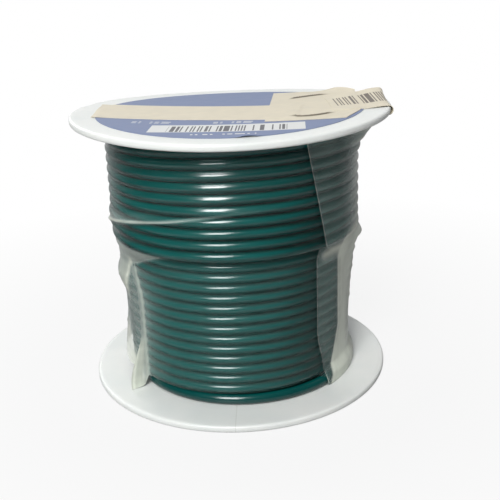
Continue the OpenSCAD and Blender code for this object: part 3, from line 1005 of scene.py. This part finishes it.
def barcode_flag():
    """A paper flag that lies on the stickers and folds round the rim; its far corner stands up and out."""
    flag, u, v = flat_paper("paper_flag", columns=72, rows=30)
    rim = UPPER_R / MM
    y = FLAG_Y + v / 2 * FLAG_W
    far = (v + 1) / 2
    fold_r = FLANGE_T / MM / 2 + FLAG_FOLD_GAP
    fold_x = rim - FLANGE_T / MM / 2 - FLAG_FOLD_IN + FLAG_FAR_OUT * far ** 2
    level = fold_x - FLAG_FROM
    bend = math.pi * fold_r
    run = (u + 1) / 2 * (level + bend + FLAG_UNDER)
    turn = np.clip((run - level) / fold_r, 0, math.pi)
    under = np.clip(run - level - bend, 0, None)
    x = FLAG_FROM + np.minimum(run, level) + fold_r * np.sin(turn) - under
    raised = FLAG_FAR_UP * far ** FLAG_FAR_BEND * rise(x, FLAG_FROM, fold_x)
    reach = np.minimum(x, np.sqrt((rim - FLAG_RIM_IN) ** 2 - y ** 2))
    top = top_z(reach, y, 3) + FLAG_GAP
    curl = top_z(rim - FLAG_CURL_IN, y, 0) + fold_r * (np.cos(turn) - 1) + FLAG_FOLD_GAP
    z = top + (curl - top) * rise(run, level - FLAG_EASE, level) + raised
    place_points(flag, np.column_stack([x, y, z]) * MM)
    apply_modifier(flag, "SOLIDIFY", thickness=PAPER_T, offset=1)
    finish_mesh(flag, SHARP_PAPER)
    return flag


# Finishes: colours, the darker tone first
PLASTIC_TONES = (0.68, 0.71, 0.69), (0.75, 0.76, 0.735)
WELD_TONE = (0.63, 0.65, 0.62)
WIRE_TONES = (0.0008, 0.070, 0.063), (0.0015, 0.088, 0.079)
# Painted shade: darker greens for the bare lowest turn, which lies in shadow under the film and the turn
# above
SHADED_BOTTOM_TURN_TONES = (0.0005, 0.036, 0.034), (0.001, 0.046, 0.043)
COPPER_TONES = (0.55, 0.22, 0.11), (0.83, 0.42, 0.25)
FILM_TONES = [(0.1, (0.36, 0.56, 0.52)), (0.35, (0.60, 0.70, 0.65)), (0.6, (0.70, 0.74, 0.645))]
BLUE_TONES = (0.152, 0.193, 0.322), (0.178, 0.225, 0.358)
CREAM_TONES = (0.60, 0.55, 0.435), (0.665, 0.61, 0.485)
WHITE_PRINT = (0.64, 0.65, 0.64)
LABEL_BLACK = (0.11, 0.11, 0.12)
FLAG_BLACK = (0.14, 0.12, 0.10)
# Painted shadow along the wide sticker's wrinkles
WRINKLE_SHADOW_TONE = (0.10, 0.085, 0.06)
# Roughness by the unevenness of copper, and what unevenness of dust does to the wire's
COPPER_GLOSS = [(0.2, 0.22), (0.8, 0.4)]
DUST_GLOSS = [(0.35, 0.85), (0.75, 1.15)]
# By height in metres: where the painted shade on the bare lowest turn ends, the wire's roughness and the
# film's extra shine
BOTTOM_TURN_SHADE_END = [((FIRST_Z + 0.9) * MM, 0.0), ((FIRST_Z + 1.7) * MM, 1.0)]
WIRE_GLOSS = [((SHOULDER_Z + 9) * MM, 0.2), ((SHOULDER_Z + 18) * MM, 0.15)]
FILM_SHINE = [(0.061, 0.0), (0.070, 0.02), (0.080, 0.02), (0.083, 0.0)]


def feed(tree, socket, value):
    """Links a socket to another one, or sets it to a value."""
    if isinstance(value, bpy.types.NodeSocket):
        tree.links.new(value, socket)
    else:
        socket.default_value = value


def fed(tree, node, **inputs):
    """A node with its inputs fed, each of them named with _ for a space."""
    for name, value in inputs.items():
        feed(tree, node.inputs[name.replace("_", " ")], value)
    return node


def added(tree, kind, **inputs):
    """A new node with its inputs fed."""
    return fed(tree, tree.nodes.new("ShaderNode" + kind), **inputs)


def shader(name):
    """A new material, its node tree and its main shader."""
    material = bpy.data.materials.new(name)
    material.use_nodes = True
    return material, material.node_tree, material.node_tree.nodes["Principled BSDF"]


def own_place(tree):
    """A place on the object's own coordinates."""
    return added(tree, "TexCoord").outputs["Object"]


def parts_of(tree, place):
    """The X, Y and Z of a place."""
    return added(tree, "SeparateXYZ", Vector=place).outputs


def noise(tree, scale, detail, stretch=None):
    """Noise on the object's own coordinates."""
    place = own_place(tree)
    if stretch:
        place = added(tree, "Mapping", Vector=place, Scale=stretch).outputs["Vector"]
    return added(tree, "TexNoise", Vector=place, Scale=scale, Detail=detail).outputs["Fac"]


def ramp(tree, source, stops):
    """Colours or greys along a value."""
    band = added(tree, "ValToRGB", Fac=source)
    elements = band.color_ramp.elements
    while len(elements) < len(stops):
        elements.new(0.5)
    for element, (place, colour) in zip(elements, stops):
        element.position = place
        element.color = (*colour, 1) if isinstance(colour, tuple) else (colour, colour, colour, 1)
    return band.outputs["Color"]


def two_tone(tree, source, low, high):
    """A colour or grey between two, by an uneven value such as noise."""
    return ramp(tree, source, [(0.3, low), (0.7, high)])


def math_node(tree, operation, *values):
    """One step of arithmetic on sockets or numbers."""
    step = added(tree, "Math")
    step.operation = operation
    for socket, value in zip(step.inputs, values):
        feed(tree, socket, value)
    return step.outputs["Value"]


def mixed(tree, factor, first, second):
    """A colour between two colours."""
    mix = added(tree, "Mix")
    mix.data_type = "RGBA"
    fed(tree, mix, Factor=factor)
    colour_inputs = [socket for socket in mix.inputs if socket.type == "RGBA"]
    for socket, value in zip(colour_inputs, (first, second)):
        feed(tree, socket, (*value, 1) if isinstance(value, tuple) else value)
    return [socket for socket in mix.outputs if socket.type == "RGBA"][0]


def mixed_shaders(tree, factor, first, second):
    """A surface between two surfaces."""
    mix = added(tree, "MixShader")
    for socket, value in zip(mix.inputs, (factor, first, second)):
        feed(tree, socket, value)
    return mix.outputs["Shader"]


def bumped(tree, main, height, strength, distance):
    """Gives a shader a fine relief."""
    relief = added(tree, "Bump", Height=height, Strength=strength, Distance=distance)
    fed(tree, main, Normal=relief.outputs["Normal"])


def point_value(tree, name):
    """A value that a piece keeps for each of its points."""
    attribute = added(tree, "Attribute")
    attribute.attribute_name = name
    return attribute.outputs["Fac"]


def spool_plastic():
    """White moulded plastic, a little cloudy, with a faint weld line in the front of the lower flange."""
    material, tree, main = shader("spool_plastic")
    x, y, z = parts_of(tree, own_place(tree))
    aside = math_node(tree, "MULTIPLY_ADD", y, -math.tan(WELD_LINE), x)
    weld = math_node(tree, "COMPARE", aside, 0.0, WELD_WIDTH / 2)
    front = math_node(tree, "LESS_THAN", y, 0.0)
    low = math_node(tree, "LESS_THAN", z, 2 * FLANGE_T)
    weld = math_node(tree, "MULTIPLY", weld, math_node(tree, "MULTIPLY", front, low))
    cloud = noise(tree, scale=60, detail=4)
    grain = noise(tree, scale=900, detail=2)
    fed(tree, main, Base_Color=mixed(tree, weld, two_tone(tree, cloud, *PLASTIC_TONES), WELD_TONE),
        Roughness=two_tone(tree, grain, 0.3, 0.42), Subsurface_Weight=0.12,
        Subsurface_Radius=(0.004, 0.004, 0.0035), Subsurface_Scale=1)
    bumped(tree, main, cloud, strength=0.08, distance=0.001)
    return material


def wire_insulation():
    """Green insulation: glossy, with faint streaks and dust, and a painted shade darkening the bare lowest
    turn.
    """
    material, tree, main = shader("wire_insulation")
    height = parts_of(tree, own_place(tree))["Z"]
    streak = noise(tree, scale=90, detail=4, stretch=(1, 1, 6))
    # The darker pair is painted shade on the bare lowest turn
    painted_shade, green = two_tone(tree, streak, *SHADED_BOTTOM_TURN_TONES), two_tone(tree, streak, *WIRE_TONES)
    dust = noise(tree, scale=420, detail=4)
    gloss = math_node(tree, "MULTIPLY", ramp(tree, height, WIRE_GLOSS), ramp(tree, dust, DUST_GLOSS))
    fed(tree, main, Base_Color=mixed(tree, ramp(tree, height, BOTTOM_TURN_SHADE_END), painted_shade, green),
        Roughness=gloss, Specular_IOR_Level=0.5)
    bumped(tree, main, dust, strength=0.05, distance=0.0003)
    return material


def copper():
    """Drawn copper, bright where it is cut."""
    material, tree, main = shader("copper")
    tarnish = noise(tree, scale=1500, detail=3)
    fed(tree, main, Base_Color=two_tone(tree, tarnish, *COPPER_TONES), Metallic=1,
        Roughness=ramp(tree, tarnish, COPPER_GLOSS))
    return material


def clear_film():
    """Clear film: seen through, glossy, most of all high up, and milky by the haze that it keeps, partly
    painted light.
    """
    material, tree, main = shader("clear_film")
    haze = point_value(tree, "haze")
    wave = noise(tree, scale=150, detail=2, stretch=(1, 1, 0.4))
    fed(tree, main, Base_Color=ramp(tree, haze, FILM_TONES), Roughness=0.35)
    bumped(tree, main, wave, strength=0.06, distance=0.0006)
    gloss = added(tree, "BsdfAnisotropic", Roughness=0.22)
    bumped(tree, gloss, wave, strength=0.08, distance=0.0006)
    taut = ramp(tree, parts_of(tree, own_place(tree))["Z"], FILM_SHINE)
    shine = math_node(tree, "ADD", added(tree, "Fresnel", IOR=1.29).outputs["Fac"], taut)
    unseen = added(tree, "BsdfTransparent")
    clear = mixed_shaders(tree, shine, unseen.outputs["BSDF"], gloss.outputs["BSDF"])
    patchy = two_tone(tree, noise(tree, scale=160, detail=4, stretch=(1, 1, 0.3)), 0.85, 1.1)
    milky = math_node(tree, "MULTIPLY", haze, patchy)
    film = mixed_shaders(tree, milky, clear, main.outputs["BSDF"])
    fed(tree, tree.nodes["Material Output"], Surface=film)
    return material


# Print, in millimetres: middle, size and turn of each area, and the width of the narrowest dash or bar
LABEL_PANEL = ((-1.2, -30.2), (45.4, 10.6), -4.6)
LABEL_DASHES = (
    ((-24.4, -17.5), (14, 0.8), -8), ((-24.6, -19.2), (12, 0.7), -8), ((0.4, -20.8), (14, 0.8), -5),
    ((0.2, -22.4), (12, 0.7), -5), ((-2.5, -38.9), (19, 1.1), -4))
LABEL_BARS = (((-4.2, -30.6), (28.8, 8), -4.6), ((13.9, -32), (4.6, 7.6), -4.6))
FLAG_BARS = ((42.7, 1.5), (19, 14.5), 0)
DASH_MODULE, LABEL_MODULE, FLAG_MODULE = 0.7, 0.42, 0.4
# Share of the places across the bars that stay pale
PALE_BARS = 0.52


def plan_mask(tree, middle, size, turn):
    """1 in a turned rectangle seen from above, and the place across it, in metres."""
    mapping = added(tree, "Mapping", Vector=own_place(tree))
    mapping.vector_type = "TEXTURE"
    fed(tree, mapping, Location=(middle[0] * MM, middle[1] * MM, 0), Rotation=(0, 0, math.radians(turn)))
    parts = parts_of(tree, mapping.outputs["Vector"])
    across = math_node(tree, "COMPARE", parts["X"], 0.0, size[0] / 2 * MM)
    along = math_node(tree, "COMPARE", parts["Y"], 0.0, size[1] / 2 * MM)
    return math_node(tree, "MULTIPLY", across, along), parts["X"]


def bars(tree, middle, size, turn, module):
    """Plain bars of uneven width in a rectangle; they code nothing."""
    area, across = plan_mask(tree, middle, size, turn)
    cell = math_node(tree, "FLOOR", math_node(tree, "DIVIDE", across, module * MM))
    chance = added(tree, "TexWhiteNoise")
    chance.noise_dimensions = "1D"
    fed(tree, chance, W=cell)
    dark = math_node(tree, "GREATER_THAN", chance.outputs["Value"], PALE_BARS)
    return math_node(tree, "MULTIPLY", dark, area)


def paper_base(tree, main, dark, light):
    """Paper with a fine fibre and uneven tone."""
    fibre = noise(tree, scale=260, detail=5)
    fed(tree, main, Roughness=two_tone(tree, fibre, 0.5, 0.65))
    bumped(tree, main, fibre, strength=0.08, distance=0.0004)
    return two_tone(tree, fibre, dark, light)


def label_paper():
    """Blue printed paper with a white panel of bars and lines of plain dashes."""
    material, tree, main = shader("label_paper")
    colour = paper_base(tree, main, *BLUE_TONES)
    colour = mixed(tree, plan_mask(tree, *LABEL_PANEL)[0], colour, WHITE_PRINT)
    for place in LABEL_DASHES:
        colour = mixed(tree, bars(tree, *place, DASH_MODULE), colour, WHITE_PRINT)
    for place in LABEL_BARS:
        colour = mixed(tree, bars(tree, *place, LABEL_MODULE), colour, LABEL_BLACK)
    fed(tree, main, Base_Color=colour)
    return material


def sticker_paper(name, barred=False, shadowed_wrinkles=False):
    """Cream paper, with bars on the flag and painted shadows along the wrinkles on the wide sticker."""
    material, tree, main = shader(name)
    colour = paper_base(tree, main, *CREAM_TONES)
    if barred:
        colour = mixed(tree, bars(tree, *FLAG_BARS, FLAG_MODULE), colour, FLAG_BLACK)
    # Painted shadow along the wide sticker's wrinkles
    if shadowed_wrinkles:
        colour = mixed(tree, point_value(tree, "wrinkle"), colour, WRINKLE_SHADOW_TONE)
    fed(tree, main, Base_Color=colour)
    return material


# Pieces
plastic = spool_plastic()
lower = flange("flange_lower", FLANGE_R, 0, 1)
upper = flange("flange_upper", UPPER_R, OVERALL_H, -1)
bent = points_of(upper)
bent[:, 2] += flange_lift(bent[:, 0], bent[:, 1])
place_points(upper, bent)
for piece, node in ((lower, "lower_flange"), (upper, "upper_flange")):
    carried(piece, plastic, "spool_plastic", node)
dress(frame["nodes"]["barrel"], plastic)

green = wire_insulation()
wire = wound_wire()
carried(wire, green, "wire_insulation", "inner_layer", "outer_layer")
carried(buried_turns(), green, "wire_insulation", "winding_core")
dress(frame["nodes"]["conductor_strands"], copper())

film = film_wrap()
carried(film, clear_film(), "clear_film", "film_wrap")

carried(round_label(), label_paper(), "label_paper", "round_label")
carried(paper_strip(), sticker_paper("strip_paper"), "sticker_paper", "paper_strip")
carried(wide_sticker(), sticker_paper("sticker_paper", shadowed_wrinkles=True), "sticker_paper", "wide_sticker")
carried(barcode_flag(), sticker_paper("flag_paper", barred=True), "sticker_paper", "barcode_flag")

# Studio, in metres: the floor whitens away from the spool, and gloss mirrors the white at the back
FLOOR_SIZE = 6
FLOOR_DROP = 0.0002
FLOOR_GREY = (0.4, 0.4, 0.4, 1)
FLOOR_WHITE = [(0.07, 0.88), (0.22, 1.0)]
FLOOR_BACKDROP = [(0.3, 0.0), (1.0, 1.0)]
ROOM_TONES = [(0.0, (0.07, 0.072, 0.075)), (0.6, (0.4, 0.4, 0.41))]
ROOM_BACKDROP = [(0.2, 0.0), (0.9, 0.85)]
# The camera, from the photograph: where it stands, how it is turned in radians and its focal length
CAMERA_PLACE = (0, -261.5 * MM, 134.06 * MM)
CAMERA_PITCH = 0.3430
CAMERA_YAW = 0.0179
CAMERA_ROLL = -0.0381
CAMERA_LENS = 57.88
CAMERA_NEAR = 0.01


def seen_white(tree, backdrop):
    """1 for the eye and through clear pieces, and the backdrop's share for what gloss mirrors."""
    path = added(tree, "LightPath").outputs
    seen = math_node(tree, "MAXIMUM", path["Is Camera Ray"], path["Is Transmission Ray"])
    mirrored = math_node(tree, "MULTIPLY", path["Is Glossy Ray"], backdrop)
    return math_node(tree, "MAXIMUM", seen, mirrored)


def pale_floor():
    """A wide pale floor that stays white to the eye and still takes the spool's shadow."""
    clear_selection()
    bpy.ops.mesh.primitive_plane_add(size=FLOOR_SIZE, location=(0, 0, -FLOOR_DROP))
    floor = named("studio_floor")
    settle(floor)
    material, tree, main = shader("studio_floor")
    fed(tree, main, Base_Color=FLOOR_GREY, Roughness=0.8)
    reach = added(tree, "VectorMath")
    reach.operation = "LENGTH"
    feed(tree, reach.inputs[0], own_place(tree))
    white = ramp(tree, reach.outputs["Value"], FLOOR_WHITE)
    backdrop = ramp(tree, parts_of(tree, own_place(tree))["Y"], FLOOR_BACKDROP)
    share = math_node(tree, "MULTIPLY", seen_white(tree, backdrop), white)
    glow = added(tree, "Emission")
    surface = mixed_shaders(tree, share, main.outputs["BSDF"], glow.outputs["Emission"])
    fed(tree, tree.nodes["Material Output"], Surface=surface)
    dress(floor, material)


def studio_world():
    """A soft grey room for light: white to the eye, through clear pieces and where gloss faces its back."""
    world = bpy.data.worlds.new("studio")
    bpy.context.scene.world = world
    world.use_nodes = True
    tree = world.node_tree
    facing = parts_of(tree, added(tree, "TexCoord").outputs["Generated"])["Y"]
    room, backdrop = ramp(tree, facing, ROOM_TONES), ramp(tree, facing, ROOM_BACKDROP)
    fed(tree, tree.nodes["Background"], Color=mixed(tree, seen_white(tree, backdrop), room, (1, 1, 1)))


def softbox(name, place, size, power):
    """A square lamp that faces the spool."""
    clear_selection()
    bpy.ops.object.light_add(type="AREA", location=place)
    lamp = bpy.context.active_object
    lamp.name = name
    lamp.data.shape = "RECTANGLE"
    lamp.data.size, lamp.data.size_y = size
    lamp.data.energy = power
    aim = (Vector((0, 0, OVERALL_H / 2)) - lamp.location).to_track_quat("-Z", "Y")
    lamp.rotation_euler = aim.to_euler()


def photo_camera():
    """The photograph's camera."""
    data = bpy.data.cameras.new("photo_camera")
    camera = bpy.data.objects.new("photo_camera", data)
    bpy.context.scene.collection.objects.link(camera)
    data.lens = CAMERA_LENS
    data.clip_start = CAMERA_NEAR
    camera.matrix_world = (
        Matrix.Translation(CAMERA_PLACE) @ Matrix.Rotation(-CAMERA_YAW, 4, "Z")
        @ Matrix.Rotation(math.pi / 2 - CAMERA_PITCH, 4, "X") @ Matrix.Rotation(CAMERA_ROLL, 4, "Z"))
    bpy.context.scene.camera = camera


pale_floor()
studio_world()
softbox("key_softbox", place=(-0.29, -0.84, 0.8), size=(0.38, 0.76), power=16.5)
softbox("top_softbox", place=(-0.1, 0.3, 1.1), size=(0.6, 0.6), power=1.3)
softbox("back_softbox", place=(-0.55, 0.75, 0.6), size=(0.5, 0.5), power=2.8)
photo_camera()
bpy.context.scene.view_settings.view_transform = "Standard"
